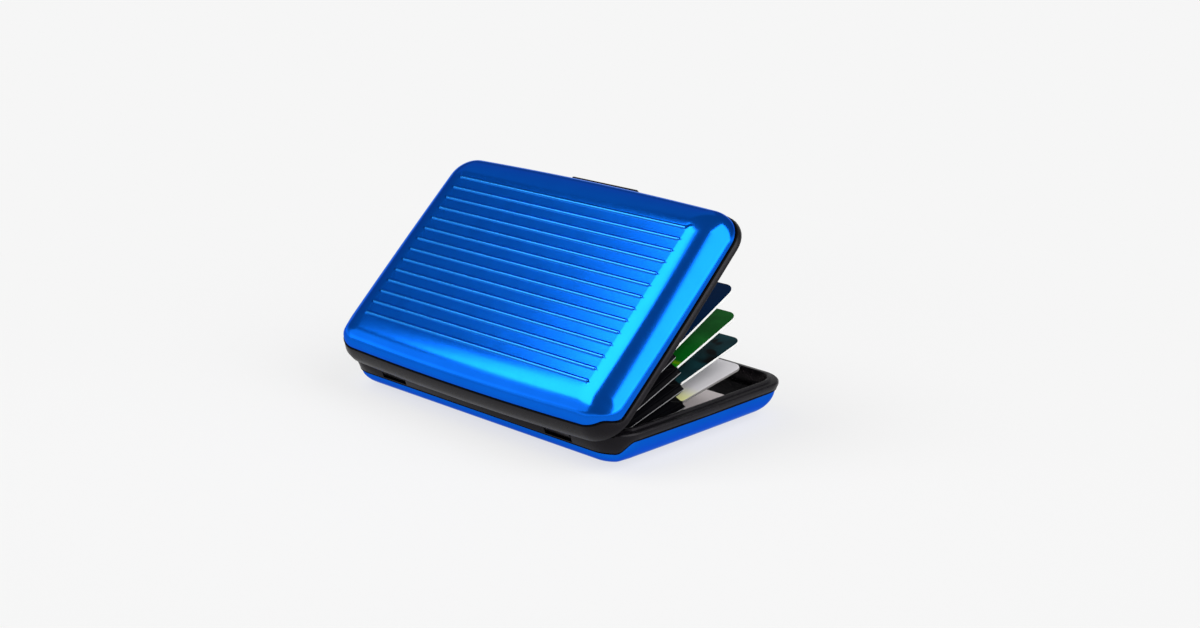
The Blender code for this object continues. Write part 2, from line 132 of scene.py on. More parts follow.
def roundEdges(piece, width, kind, miter="MITER_SHARP"):
    step = piece.modifiers.new("roundEdges", "BEVEL")
    step.width = width
    step.segments = roundSegments
    step.limit_method = "ANGLE"
    step.angle_limit = math.radians(edgeAngles["rounded"])
    step.miter_outer = miter
    applied(piece)
    shadeBy(piece.data, kind)


def addRings(shape, rings, closed=False, caps=True):
    loops = [[shape.verts.new(point) for point in ring] for ring in rings]
    pairs = list(zip(loops, loops[1:]))
    if closed:
        pairs.append((loops[-1], loops[0]))
    for low, high in pairs:
        for k in range(len(low)):
            after = (k + 1) % len(low)
            shape.faces.new((low[k], low[after], high[after], high[k]))
    if caps and not closed:
        shape.faces.new(list(reversed(loops[0])))
        shape.faces.new(loops[-1])


# Shader building

def addNode(tree, kind, inputs=None, **settings):
    node = tree.nodes.new(kind)
    for name, value in settings.items():
        setattr(node, name, value)
    for name, value in (inputs or {}).items():
        node.inputs[name].default_value = value
    return node


def newGroup(name, inputs, outputs):
    group = bpy.data.node_groups.new(name, "ShaderNodeTree")
    for label, kind, value in inputs:
        socket = group.interface.new_socket(name=label, in_out="INPUT", socket_type=kind)
        if value is not None:
            socket.default_value = value
    for label, kind in outputs:
        group.interface.new_socket(name=label, in_out="OUTPUT", socket_type=kind)
    return group, group.nodes.new("NodeGroupInput"), group.nodes.new("NodeGroupOutput")


def addRamp(tree, value, start, stop, low=0.0, high=1.0):
    sockets = {"From Min": start, "From Max": stop, "To Min": low, "To Max": high}
    node = addNode(tree, "ShaderNodeMapRange", interpolation_type="SMOOTHSTEP")
    for label, number in sockets.items():
        node.inputs[label].default_value = number
    tree.links.new(value, node.inputs["Value"])
    return node.outputs["Result"]


def addTone(tree, color, tone, factor):
    node = addNode(tree, "ShaderNodeMix", data_type="RGBA")
    node.inputs["B"].default_value = (*tone, 1)
    tree.links.new(color, node.inputs["A"])
    tree.links.new(factor, node.inputs["Factor"])
    return node.outputs["Result"]


def grainGroup():
    group, given, result = newGroup(
        "fineGrain",
        [("Scale", "NodeSocketFloat", 4000.0), ("Strength", "NodeSocketFloat", 0.1),
         ("Wave Scale", "NodeSocketFloat", 60.0), ("Wave Strength", "NodeSocketFloat", 0.0)],
        [("Normal", "NodeSocketVector")],
    )
    where = addNode(group, "ShaderNodeTexCoord")
    fine = addNode(group, "ShaderNodeTexNoise", {"Detail": 2.0, "Roughness": 0.6})
    wave = addNode(group, "ShaderNodeTexNoise", {"Detail": 1.0, "Roughness": 0.4})
    swell = addNode(group, "ShaderNodeBump", {"Distance": 0.0002})
    grit = addNode(group, "ShaderNodeBump", {"Distance": 0.00002})
    link = group.links.new
    link(where.outputs["Object"], fine.inputs["Vector"])
    link(where.outputs["Object"], wave.inputs["Vector"])
    link(given.outputs["Scale"], fine.inputs["Scale"])
    link(given.outputs["Wave Scale"], wave.inputs["Scale"])
    link(wave.outputs["Fac"], swell.inputs["Height"])
    link(given.outputs["Wave Strength"], swell.inputs["Strength"])
    link(fine.outputs["Fac"], grit.inputs["Height"])
    link(given.outputs["Strength"], grit.inputs["Strength"])
    link(swell.outputs["Normal"], grit.inputs["Normal"])
    link(grit.outputs["Normal"], result.inputs["Normal"])
    return group


def mottleGroup():
    group, given, result = newGroup(
        "mottle",
        [("Scale", "NodeSocketFloat", 200.0), ("Low", "NodeSocketFloat", 0.0),
         ("High", "NodeSocketFloat", 1.0), ("Contrast", "NodeSocketFloat", 0.2)],
        [("Value", "NodeSocketFloat")],
    )
    where = addNode(group, "ShaderNodeTexCoord")
    noise = addNode(group, "ShaderNodeTexNoise", {"Detail": 4.0, "Roughness": 0.6})
    lower = addNode(group, "ShaderNodeMath", operation="SUBTRACT")
    lower.inputs[0].default_value = 0.5
    upper = addNode(group, "ShaderNodeMath", operation="ADD")
    upper.inputs[0].default_value = 0.5
    spread = addNode(group, "ShaderNodeMapRange", interpolation_type="SMOOTHSTEP")
    value = addNode(group, "ShaderNodeMapRange")
    link = group.links.new
    link(where.outputs["Object"], noise.inputs["Vector"])
    link(given.outputs["Scale"], noise.inputs["Scale"])
    link(given.outputs["Contrast"], lower.inputs[1])
    link(given.outputs["Contrast"], upper.inputs[1])
    link(noise.outputs["Fac"], spread.inputs["Value"])
    link(lower.outputs[0], spread.inputs["From Min"])
    link(upper.outputs[0], spread.inputs["From Max"])
    link(spread.outputs["Result"], value.inputs["Value"])
    link(given.outputs["Low"], value.inputs["To Min"])
    link(given.outputs["High"], value.inputs["To Max"])
    link(value.outputs["Result"], result.inputs["Value"])
    return group


fineGrain = grainGroup()
mottle = mottleGroup()


def useGroup(tree, group, sockets, target, label):
    node = tree.nodes.new("ShaderNodeGroup")
    node.node_tree = group
    for name, value in sockets.items():
        node.inputs[name].default_value = value
    tree.links.new(node.outputs[label], target)


def newFinish(name, sockets):
    material = bpy.data.materials.new(name)
    material.use_nodes = True
    surface = material.node_tree.nodes["Principled BSDF"]
    for label, value in sockets.items():
        surface.inputs[label].default_value = value
    return material, material.node_tree, surface


# How softly the patches of tone and of roughness run into each other
patchContrast = 0.3
roughContrast = 0.25


def dressSurface(tree, surface, color, look):
    tree.links.new(color, surface.inputs["Base Color"])
    low, high = look["roughness"]
    contrast = look.get("contrast", roughContrast)
    patches = {"Scale": look["roughScale"], "Low": low, "High": high, "Contrast": contrast}
    useGroup(tree, mottle, patches, surface.inputs["Roughness"], "Value")
    bumps = {"Scale": look["grainScale"], "Strength": look["grain"]}
    if "wave" in look:
        bumps |= {"Wave Scale": look["waveScale"], "Wave Strength": look["wave"]}
    useGroup(tree, fineGrain, bumps, surface.inputs["Normal"], "Normal")


def plainFinish(name, look):
    optional = ("Metallic", "Coat Weight", "Coat Roughness", "Specular IOR Level", "Specular Tint")
    given = {label: look[label] for label in optional if label in look}
    material, tree, surface = newFinish(name, given)
    tint = addNode(tree, "ShaderNodeMix", data_type="RGBA")
    tint.inputs["A"].default_value = (*look["dark"], 1)
    tint.inputs["B"].default_value = (*look["light"], 1)
    patches = {"Scale": look["patchScale"], "Low": 0.0, "High": 1.0, "Contrast": patchContrast}
    useGroup(tree, mottle, patches, tint.inputs["Factor"], "Value")
    color = tint.outputs["Result"]
    # Tones that the attribute masks mix in here are painted shade and painted highlight
    for attribute, paintedTone, share in look.get("paintedTones", ()):
        spread = addNode(tree, "ShaderNodeAttribute", attribute_name=attribute)
        depth = addNode(tree, "ShaderNodeMath", operation="MULTIPLY")
        depth.inputs[1].default_value = share
        tree.links.new(spread.outputs["Fac"], depth.inputs[0])
        color = addTone(tree, color, paintedTone, depth.outputs[0])
    dressSurface(tree, surface, color, look)
    return material


looks = {
    "anodisedBlue": {
        "Metallic": 1.0, "dark": (0.0015, 0.160, 0.94), "light": (0.0025, 0.178, 1.0),
        "Coat Weight": 0.06, "Coat Roughness": 0.16, "Specular Tint": (0.2, 0.48, 1.0, 1),
        "patchScale": 90.0, "roughness": (0.15, 0.165), "roughScale": 260.0,
        "grain": 0.05, "grainScale": 9000.0, "wave": 0.012, "waveScale": 30.0,
        # Painted shade along the rib feet and a painted highlight on the rib crests
        "paintedTones": (("ribFootShade", (0.001, 0.015, 0.045), 0.8), ("ribCrestHighlight", (0.035, 0.36, 1.0), 0.72)),
    },
    "mouldedBlack": {
        "dark": (0.0036, 0.0031, 0.0046), "light": (0.0062, 0.0055, 0.0076),
        "Specular IOR Level": 0.2, "Specular Tint": (0.97, 0.93, 1.0, 1),
        "patchScale": 180.0, "roughness": (0.26, 0.34), "roughScale": 1500.0,
        "grain": 0.4, "grainScale": 5200.0, "wave": 0.05, "waveScale": 120.0,
    },
    # Near-black matte for the bead that paints the shade in the step between shell and frame
    "stepShadeBlack": {
        "dark": (0.0012, 0.0012, 0.0014), "light": (0.0022, 0.0021, 0.0025),
        "Specular IOR Level": 0.05,
        "patchScale": 300.0, "roughness": (0.6, 0.75), "roughScale": 1500.0,
        "grain": 0.3, "grainScale": 5200.0,
    },
    "claspBlack": {
        "dark": (0.0016, 0.0016, 0.0022), "light": (0.0034, 0.0034, 0.0042),
        "Specular IOR Level": 0.04,
        "patchScale": 240.0, "roughness": (0.4, 0.5), "roughScale": 1500.0,
        "grain": 0.25, "grainScale": 6000.0,
    },
    "linerBlack": {
        "dark": (0.0036, 0.0036, 0.005), "light": (0.0066, 0.0064, 0.0076),
        "Specular IOR Level": 0.25,
        "patchScale": 160.0, "roughness": (0.55, 0.66), "roughScale": 900.0,
        "grain": 0.6, "grainScale": 4200.0,
    },
    "filmBlack": {
        "dark": (0.0018, 0.0018, 0.0026), "light": (0.0036, 0.0036, 0.005),
        "Specular IOR Level": 0.035,
        "patchScale": 140.0, "roughness": (0.4, 0.5), "roughScale": 500.0,
        "grain": 0.2, "grainScale": 5200.0, "wave": 0.3, "waveScale": 90.0,
    },
    # Light grey on the films' cut faces, a painted highlight along their edges
    "filmEdgeHighlight": {
        "dark": (0.22, 0.22, 0.23), "light": (0.34, 0.34, 0.35),
        "patchScale": 400.0, "roughness": (0.3, 0.45), "roughScale": 1500.0,
        "grain": 0.3, "grainScale": 6000.0,
    },
    "springSteel": {
        "Metallic": 1.0, "dark": (0.46, 0.46, 0.47), "light": (0.62, 0.62, 0.62),
        "patchScale": 500.0, "roughness": (0.22, 0.36), "roughScale": 2400.0,
        "grain": 0.4, "grainScale": 9000.0,
    },
    "padFoam": {
        "dark": (0.018, 0.018, 0.019), "light": (0.045, 0.045, 0.046),
        "patchScale": 1500.0, "roughness": (0.85, 0.95), "roughScale": 1500.0,
        "grain": 1.0, "grainScale": 1800.0,
    },
    "greyCore": {
        "dark": (0.20, 0.19, 0.19), "light": (0.26, 0.25, 0.25),
        "patchScale": 300.0, "roughness": (0.4, 0.5), "roughScale": 1200.0,
        "grain": 0.2, "grainScale": 5000.0,
    },
    "cardCore": {
        "dark": (0.78, 0.78, 0.77), "light": (0.88, 0.88, 0.87),
        "patchScale": 300.0, "roughness": (0.4, 0.5), "roughScale": 1200.0,
        "grain": 0.2, "grainScale": 5000.0,
    },
}
finishes = {name: plainFinish(name, look) for name, look in looks.items()}
print("finishes made")


# The camera stands where the photograph was taken from
cameraSizes = {
    "azimuth": 43.17,
    "elevation": 16.87,
    "roll": 1.13,
    "distance": 0.52574,
    "aim": (0, -0.00198, 0.020),
    "lens": 54.02,
    "sensor": 36,
    "shift": (0.02994, 0.01613),
    "near": 0.01,
}


def makeCamera():
    turns = ("azimuth", "elevation", "roll")
    azimuth, elevation, roll = (math.radians(cameraSizes[label]) for label in turns)
    level = Vector((math.sin(azimuth), -math.cos(azimuth), 0))
    back = level * math.cos(elevation) + Vector((0, 0, math.sin(elevation)))
    right = Vector((math.cos(azimuth), math.sin(azimuth), 0))
    up = back.cross(right)
    across = math.cos(roll) * right + math.sin(roll) * up
    rise = -math.sin(roll) * right + math.cos(roll) * up
    data = bpy.data.cameras.new("camera")
    data.lens = cameraSizes["lens"]
    data.sensor_width = cameraSizes["sensor"]
    data.shift_x, data.shift_y = cameraSizes["shift"]
    data.clip_start = cameraSizes["near"]
    item = bpy.data.objects.new("camera", data)
    bpy.context.scene.collection.objects.link(item)
    turn = Matrix((across, rise, back)).transposed().to_4x4()
    spot = Vector(cameraSizes["aim"]) + back * cameraSizes["distance"]
    item.matrix_world = Matrix.Translation(spot) @ turn
    bpy.context.scene.camera = item


makeCamera()

# A white sweep, soft boxes and a dim ceiling, as a small product is lit
studio = {
    "white": 0.9215,
    "mirroredWhite": 0.56,
    "floorColor": 0.86,
    "floorRoughness": 0.9,
    "floorSpecular": 0.1,
    "floorRadius": 4.0,
    "floorSides": 96,
    "shadeShare": 0.24,
    "clear": (0.07, 0.26),
    "ceiling": 0.235,
    "horizon": 0.9,
    "horizonBand": (0.03, 0.22),
}
mirroredWay = (-0.419, -0.517, 0.747)
softBoxes = (
    # towards, sideways, distance, centre, size, brightness
    (mirroredWay, (0.861, -0.487, 0.146), 1.2, (0.048, 0.047), (0.80, 0.80), 4.1),
    (mirroredWay, (0.892, -0.305, 0.333), 1.2, (-0.335, -0.14), (0.09, 0.44), 2.4),
    (mirroredWay, (0.892, -0.305, 0.333), 1.2, (-0.38, -0.66), (1.44, 0.60), 0.68),
    ((0.85, 0.15, 0.5), (-0.17, 0.985, 0.0), 1.25, (0.15, 0.18), (1.24, 1.56), 2.7),
    ((-0.62, 0.42, 0.66), (0.56, 0.83, 0.0), 1.3, (0.0, 0.0), (1.1, 0.7), 0.12),
)


def grey(value):
    return value, value, value, 1


# The floor glows like the paper far away and takes a share of shadow near the wallet
def makeFloor():
    sheet = bmesh.new()
    bmesh.ops.create_circle(
        sheet, cap_ends=True, segments=studio["floorSides"], radius=studio["floorRadius"],
    )
    material, tree, surface = newFinish("paperSweep", {
        "Base Color": grey(studio["floorColor"]),
        "Roughness": studio["floorRoughness"],
        "Specular IOR Level": studio["floorSpecular"],
    })
    link = tree.links.new
    spot = addNode(tree, "ShaderNodeTexCoord")
    reach = addNode(tree, "ShaderNodeVectorMath", operation="LENGTH")
    glow = addNode(tree, "ShaderNodeEmission")
    path = addNode(tree, "ShaderNodeLightPath")
    tone = addNode(tree, "ShaderNodeMix", data_type="RGBA")
    tone.inputs["A"].default_value = grey(studio["white"])
    tone.inputs["B"].default_value = grey(studio["mirroredWhite"])
    blend = addNode(tree, "ShaderNodeMixShader")
    link(path.outputs["Is Glossy Ray"], tone.inputs["Factor"])
    link(tone.outputs["Result"], glow.inputs["Color"])
    link(spot.outputs["Object"], reach.inputs[0])
    clear = addRamp(tree, reach.outputs["Value"], *studio["clear"], 1 - studio["shadeShare"])
    link(clear, blend.inputs["Fac"])
    link(surface.outputs["BSDF"], blend.inputs[1])
    link(glow.outputs["Emission"], blend.inputs[2])
    link(blend.outputs["Shader"], tree.nodes["Material Output"].inputs["Surface"])
    pieceFromShape("floorSheet", sheet, [material])


# The camera sees plain white; mirrors see a dim ceiling over a bright horizon
def makeWorld():
    world = bpy.data.worlds.new("studio")
    bpy.context.scene.world = world
    world.use_nodes = True
    tree = world.node_tree
    link = tree.links.new
    way = addNode(tree, "ShaderNodeTexCoord")
    split = addNode(tree, "ShaderNodeSeparateXYZ")
    path = addNode(tree, "ShaderNodeLightPath")
    seen = addNode(tree, "ShaderNodeMath", operation="MAXIMUM")
    choose = addNode(tree, "ShaderNodeMix", data_type="RGBA")
    choose.inputs["B"].default_value = grey(studio["white"])
    link(way.outputs["Generated"], split.inputs["Vector"])
    sky = addRamp(tree, split.outputs["Z"], *studio["horizonBand"], studio["horizon"], studio["ceiling"])
    link(path.outputs["Is Camera Ray"], seen.inputs[0])
    link(path.outputs["Is Transmission Ray"], seen.inputs[1])
    link(seen.outputs[0], choose.inputs["Factor"])
    link(sky, choose.inputs["A"])
    link(choose.outputs["Result"], tree.nodes["Background"].inputs["Color"])


def makeLamps():
    for number, (towards, sideways, distance, centre, size, brightness) in enumerate(softBoxes):
        back = Vector(towards).normalized()
        across = Vector(sideways)
        across = (across - back * across.dot(back)).normalized()
        rise = back.cross(across)
        data = bpy.data.lights.new(f"softBox{number + 1}", "AREA")
        data.shape = "RECTANGLE"
        data.size, data.size_y = size
        data.energy = brightness * math.pi * size[0] * size[1]
        lamp = bpy.data.objects.new(data.name, data)
        bpy.context.scene.collection.objects.link(lamp)
        turn = Matrix((across, rise, back)).transposed().to_4x4()
        spot = back * distance + across * centre[0] + rise * centre[1]
        lamp.matrix_world = Matrix.Translation(spot) @ turn
        lamp.visible_camera = False


makeFloor()
makeWorld()
makeLamps()
bpy.context.scene.view_settings.view_transform = "Standard"
print("camera and studio placed")


# The two pressed half shells
shellSizes = {
    "sheet": 0.0005,
    "edgeInset": 0.00081,
    "sideBand": 0.0026,
    "hingeEdgeInset": 0.0014,
    "hingeBand": 0.0059,
    "bandTurn": (9.0, 45.0),
    "seatGap": 0.0003,
    "cornerSteps": 16,
    "outerSteps": 16,
    "innerSteps": 6,
    "columns": 13,
    "rowMargin": 0.00003,
    "weldWithin": 0.000002,
}
ribSizes = {
    "Count": 14,
    "Pitch": 0.0039599,
    "Length": 0.0888,
    "Height": 0.00044,
    "Half Width": 0.0006,
    "Crest Half Width": 0.00012,
    "Skirt Height": 0.00001,
    "Foot Shade Width": 0.00012,
}
# Rows of points across each rib, in millimetres from its middle
ribSamples = (0, .1, .2, .3, .38, .46, .54, .62, .7, .82, 1.0, 1.25, 1.6)
millimetre = 0.001


def shellStations(rowShares, columnShares):
    steps = shellSizes["cornerSteps"]
    first, last = shellSizes["bandTurn"]
    found = []
    for quarter, (signX, signY) in enumerate(quarters):
        for step in range(steps + 1):
            part = 90 * step / steps
            fromSide = part if signX * signY > 0 else 90 - part
            share = smoothStep((fromSide - first) / (last - first)) if signY < 0 else 0
            found.append((signX, signY, math.radians(90 * quarter + part), 0, share))
        if signX == signY:
            found += [(0, signY, None, -signY * along, int(signY < 0)) for along in columnShares]
        else:
            found += [(signX, 0, None, signX * along, 0) for along in rowShares]
    return found


def outlinePoint(station, inset, hingeBow):
    signX, signY, turn, along, _ = station
    past = max(inset - wallet["flatInset"], 0)
    inward = min(inset / wallet["flatInset"], 1)
    radius = mixed(wallet["cornerRadius"], wallet["flatCornerRadius"], inward) - past
    reachX = wallet["halfLength"] - inset
    reachY = wallet["halfDepth"] - inset
    if turn is not None:
        return (signX * (reachX - radius) + radius * math.cos(turn),
                signY * (reachY - radius) + radius * math.sin(turn))
    swell = (1 - along * along) * (1 - inward)
    if signY:
        bow = wallet["longBow"] if signY > 0 else hingeBow
        return along * (reachX - radius), signY * (reachY + bow * swell)
    return signX * (reachX + wallet["shortBow"] * swell), along * (reachY - radius)


def shellEdge(station):
    band = station[4]
    edgeInset = mixed(shellSizes["edgeInset"], shellSizes["hingeEdgeInset"], band)
    return edgeInset, mixed(shellSizes["sideBand"], shellSizes["hingeBand"], band)


def curveRing(stations, share, inward, hingeBow):
    ring = []
    land, flat = wallet["landDepth"], wallet["flatInset"]
    for station in stations:
        edgeInset, edgeDepth = shellEdge(station)
        height = land - edgeDepth - inward
        first = math.asin(shellSizes["seatGap"] / height)
        turn = mixed(first, math.pi / 2, share)
        inset = flat - (flat - edgeInset - inward) * math.cos(turn)
        x, y = outlinePoint(station, inset, hingeBow)
        ring.append((x, y, edgeDepth + height * math.sin(turn)))
    return ring


def flatRing(stations, extra, inward, hingeBow):
    depth = wallet["landDepth"] - inward
    return [(*outlinePoint(s, wallet["flatInset"] + extra, hingeBow), depth) for s in stations]


def ribRows():
    pitch, count = ribSizes["Pitch"], ribSizes["Count"]
    centres = [(k - (count - 1) / 2) * pitch for k in range(count)]
    rows = set()
    for centre in centres:
        for sample in ribSamples:
            off = sample * millimetre
            rows |= {round(centre + off, 7), round(centre - off, 7)}
        rows.add(round(centre - pitch / 2, 7))
    return sorted(rows)


def makeSkin(side):
    hingeBow = wallet["longBow"] if side > 0 else 0
    coreX = wallet["halfLength"] - wallet["flatInset"] - wallet["flatCornerRadius"]
    coreY = wallet["halfDepth"] - wallet["flatInset"] - wallet["flatCornerRadius"]
    rows = [row for row in ribRows() if abs(row) < coreY - shellSizes["rowMargin"]]
    rowShares = [row / coreY for row in rows]
    half = shellSizes["columns"]
    columnShares = [k / half for k in range(1 - half, half)]
    stations = shellStations(rowShares, columnShares)
    top = wallet["halfDepth"] - wallet["flatInset"]
    extras = {round(top - row, 6) for row in ribRows() if coreY < row < top}
    extras = sorted(extras | {0.0, wallet["flatCornerRadius"]})
    sheet = shellSizes["sheet"]
    faces = []
    for steps, inward in ((shellSizes["outerSteps"], 0), (shellSizes["innerSteps"], sheet)):
        rings = [curveRing(stations, k / steps, inward, hingeBow) for k in range(steps)]
        faces.append(rings + [flatRing(stations, extra, inward, hingeBow) for extra in extras])
    outer, inner = faces
    shape = bmesh.new()
    addRings(shape, inner[::-1] + outer, caps=False)
    columns = [-coreX] + [share * coreX for share in columnShares] + [coreX]
    rows = [-coreY] + rows + [coreY]
    for depth in (wallet["landDepth"], wallet["landDepth"] - sheet):
        grid = [[shape.verts.new((x, y, depth)) for x in columns] for y in rows]
        for low, high in zip(grid, grid[1:]):
            for k in range(len(columns) - 1):
                shape.faces.new((low[k], low[k + 1], high[k + 1], high[k]))
    bmesh.ops.remove_doubles(shape, verts=shape.verts, dist=shellSizes["weldWithin"])
    bmesh.ops.recalc_face_normals(shape, faces=shape.faces)
    return shape


def geometryTree(name, inputs):
    tree = bpy.data.node_groups.new(name, "GeometryNodeTree")
    tree.interface.new_socket(name="Geometry", in_out="INPUT", socket_type="NodeSocketGeometry")
    for label, kind in inputs:
        tree.interface.new_socket(name=label, in_out="INPUT", socket_type=kind)
    tree.interface.new_socket(name="Geometry", in_out="OUTPUT", socket_type="NodeSocketGeometry")
    return tree, tree.nodes.new("NodeGroupInput"), tree.nodes.new("NodeGroupOutput")


def addMath(tree, operation, *values):
    node = tree.nodes.new("ShaderNodeMath")
    node.operation = operation
    for socket, value in zip(node.inputs, values):
        if isinstance(value, (int, float)):
            socket.default_value = value
        else:
            tree.links.new(value, socket)
    return node.outputs[0]


def pressTree():
    inputs = [(label, "NodeSocketFloat") for label in ribSizes if label != "Count"]
    inputs += [("Count", "NodeSocketInt"), ("Finish", "NodeSocketMaterial")]
    tree, given, result = geometryTree("pressedRibs", inputs)
    link = tree.links.new

    def reckon(operation, *values):
        return addMath(tree, operation, *values)

    # Each point's distance from the middle line of the nearest rib
    where = tree.nodes.new("GeometryNodeInputPosition")
    split = tree.nodes.new("ShaderNodeSeparateXYZ")
    link(where.outputs[0], split.inputs[0])
    pitch, half, height = (given.outputs[label] for label in ("Pitch", "Half Width", "Height"))
    last = reckon("SUBTRACT", given.outputs["Count"], 1)
    middle = reckon("MULTIPLY", last, 0.5)
    row = reckon("ROUND", reckon("ADD", reckon("DIVIDE", split.outputs["Y"], pitch), middle))
    row = reckon("MAXIMUM", reckon("MINIMUM", row, last), 0)
    centre = reckon("MULTIPLY", reckon("SUBTRACT", row, middle), pitch)
    across = reckon("SUBTRACT", split.outputs["Y"], centre)
    straight = reckon("SUBTRACT", reckon("MULTIPLY", given.outputs["Length"], 0.5), half)
    past = reckon("SUBTRACT", reckon("ABSOLUTE", split.outputs["X"]), straight)
    past = reckon("MAXIMUM", past, 0)
    squares = reckon("ADD", reckon("MULTIPLY", past, past), reckon("MULTIPLY", across, across))
    away = reckon("SQRT", squares)

    # The rib is a smooth bead on a faint skirt
    bead = tree.nodes.new("ShaderNodeMapRange")
    bead.interpolation_type = "SMOOTHSTEP"
    link(away, bead.inputs["Value"])
    link(half, bead.inputs["From Min"])
    link(given.outputs["Crest Half Width"], bead.inputs["From Max"])
    link(height, bead.inputs["To Max"])
    near = reckon("DIVIDE", away, reckon("MULTIPLY", pitch, 0.5))
    near = reckon("MAXIMUM", reckon("SUBTRACT", 1, near), 0)
    skirt = reckon("MULTIPLY", reckon("MULTIPLY", near, near), given.outputs["Skirt Height"])
    offset = tree.nodes.new("ShaderNodeCombineXYZ")
    link(reckon("ADD", bead.outputs["Result"], skirt), offset.inputs["Z"])
    press = tree.nodes.new("GeometryNodeSetPosition")
    link(given.outputs["Geometry"], press.inputs["Geometry"])
    link(offset.outputs[0], press.inputs["Offset"])

    # Shares that the finish reads: painted shade along the rib's foot and a painted highlight on its
    # crest
    footShade = reckon("ABSOLUTE", reckon("SUBTRACT", away, half))
    footShade = reckon("DIVIDE", footShade, given.outputs["Foot Shade Width"])
    footShade = reckon("MAXIMUM", reckon("SUBTRACT", 1, footShade), 0)
    crestHighlight = reckon("DIVIDE", bead.outputs["Result"], height)
    shape = press.outputs["Geometry"]
    for label, value in (("ribFootShade", footShade), ("ribCrestHighlight", crestHighlight)):
        store = tree.nodes.new("GeometryNodeStoreNamedAttribute")
        store.inputs["Name"].default_value = label
        link(shape, store.inputs["Geometry"])
        link(value, store.inputs["Value"])
        shape = store.outputs["Geometry"]
    real = tree.nodes.new("GeometryNodeRealizeInstances")
    coat = tree.nodes.new("GeometryNodeSetMaterial")
    link(shape, real.inputs["Geometry"])
    link(real.outputs["Geometry"], coat.inputs["Geometry"])
    link(given.outputs["Finish"], coat.inputs["Material"])
    link(coat.outputs["Geometry"], result.inputs["Geometry"])
    return tree


def setInputs(piece, tree, values):
    step = piece.modifiers.new(tree.name, "NODES")
    step.node_group = tree
    for item in tree.interface.items_tree:
        if item.in_out == "INPUT" and item.name in values:
            step[item.identifier] = values[item.name]


def placed(piece, matrix):
    piece.data.transform(matrix)
    if matrix.determinant() < 0:
        piece.data.flip_normals()
    piece.data.update()
    return piece


pressedRibs = pressTree()
for name, side in halves:
    piece = pieceFromShape(f"{name}Shell", makeSkin(side), [finishes["anodisedBlue"]])
    setInputs(piece, pressedRibs, {**ribSizes, "Finish": finishes["anodisedBlue"]})
    placed(applied(piece), halfPlace(side))
    shadeBy(piece.data, "shell")
    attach(piece, name)
    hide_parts(f"{name}_shell")
    print(piece.name, "made with", len(piece.data.polygons), "faces")


# A thin dark bead in the step between each shell's edge and its frame is painted shade: it stands in for
# the shadow in that groove
stepShadeSizes = {
    "ledge": 0.0003,
    "tuck": 0.00006,
    "stand": 0.00007,
    "shoulder": 0.6,
    "brow": 0.5,
    "drop": 0.00032,
    "hingeEase": 0.6,
    "proud": 0.00004,
    "rows": 8,
    "claspShare": 0.29,
}


def stepShadeSection(station):
    edgeInset, edgeDepth = shellEdge(station)
    corner = edgeInset - stepShadeSizes["ledge"]
    proud, stand = stepShadeSizes["proud"], stepShadeSizes["stand"]
    drop = stepShadeSizes["drop"] * (1 - stepShadeSizes["hingeEase"] * station[4])
    lower = corner - drop * 2 * corner / edgeDepth
    tuck = edgeInset + stepShadeSizes["tuck"]
    return (
        (tuck, edgeDepth - stand),
        (tuck, edgeDepth + stand * stepShadeSizes["shoulder"]),
        (mixed(edgeInset, corner, 0.5), edgeDepth + stand),
        (corner - proud, edgeDepth + stand * stepShadeSizes["brow"]),
        (lower - proud, edgeDepth - drop),
        (lower + proud * 2, edgeDepth - drop),
    )


def makeStepShade(side):
    hingeBow = wallet["longBow"] if side > 0 else 0
    rows = stepShadeSizes["rows"]
    shares = [k / rows for k in range(1 - rows, rows)]
    clasp = stepShadeSizes["claspShare"]
    stations = shellStations(shares, sorted([*shares, -clasp, clasp]))
    if side < 0:
        # The clasp closes over the base's rim, so the base's bead stops short of it on both sides
        inWay = [k for k, (_, signY, turn, along, _) in enumerate(stations)
                 if signY > 0 and turn is None and abs(along) < clasp]
        stations = stations[inWay[-1] + 1:] + stations[:inWay[0]]
    rings = []
    for station in stations:
        section = stepShadeSection(station)
        rings.append([(*outlinePoint(station, inset, hingeBow), depth) for inset, depth in section])
    shape = bmesh.new()
    addRings(shape, rings, closed=side > 0)
    bmesh.ops.recalc_face_normals(shape, faces=shape.faces)
    return shape


for name, side in halves:
    piece = pieceFromShape(f"{name}Seam", makeStepShade(side), [finishes["stepShadeBlack"]])
    placed(piece, halfPlace(side))
    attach(piece, name)
print("seams laid")


# Moulded and turned pieces are the solids' own forms with real rounded edges
mergeWithin = 0.000001


def roundedCopy(node, name, body, finish, width):
    shape = bmesh.new()
    shape.from_mesh(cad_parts[node].data)
    bmesh.ops.remove_doubles(shape, verts=shape.verts, dist=mergeWithin)
    flatWithin = math.radians(edgeAngles["seamless"])
    bmesh.ops.dissolve_limit(shape, angle_limit=flatWithin, verts=shape.verts, edges=shape.edges)
    for face in shape.faces:
        face.material_index = 0
    piece = pieceFromShape(name, shape, [finish])
    kept = piece.data.attributes.get("custom_normal")
    if kept:
        piece.data.attributes.remove(kept)
    roundEdges(piece, width, "moulding", "MITER_ARC")
    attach(piece, body)
    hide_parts(node)
    return piece


